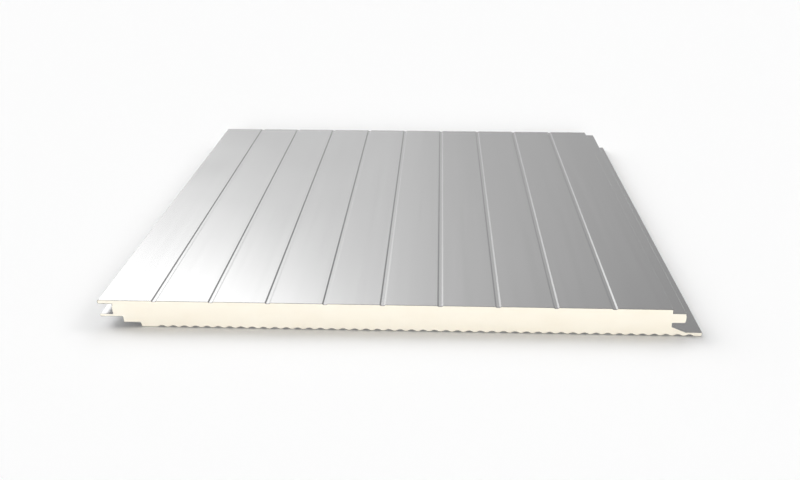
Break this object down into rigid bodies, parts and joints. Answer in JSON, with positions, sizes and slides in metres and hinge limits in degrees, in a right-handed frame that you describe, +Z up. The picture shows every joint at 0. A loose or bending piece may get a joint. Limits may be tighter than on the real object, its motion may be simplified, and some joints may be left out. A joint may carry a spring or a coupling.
{
  "type": "insulated sandwich panel",
  "caption": "Flat wall panel: two thin profiled steel sheets bonded to a rigid foam core, with a slot along one long edge and a tongue and cover lip along the other.",
  "frame": {"origin": "centre of the panel's underside, as it lies with the ribbed outer sheet down", "axes": "+Z up through the thickness to the grooved inner sheet, +Y along the grooves, +X across the panel from the slot to the tongue"},
  "size_m": [1.0526, 1.15, 0.05],
  "materials": {
    "inner_skin": "satin",
    "foam_core": "cut foam",
    "outer_skin": "satin"
  },
  "bodies": {
    "root": {"inner_skin": "inner_skin", "foam_core": "foam_core", "outer_skin": "outer_skin"}
  },
  "joints": []
}
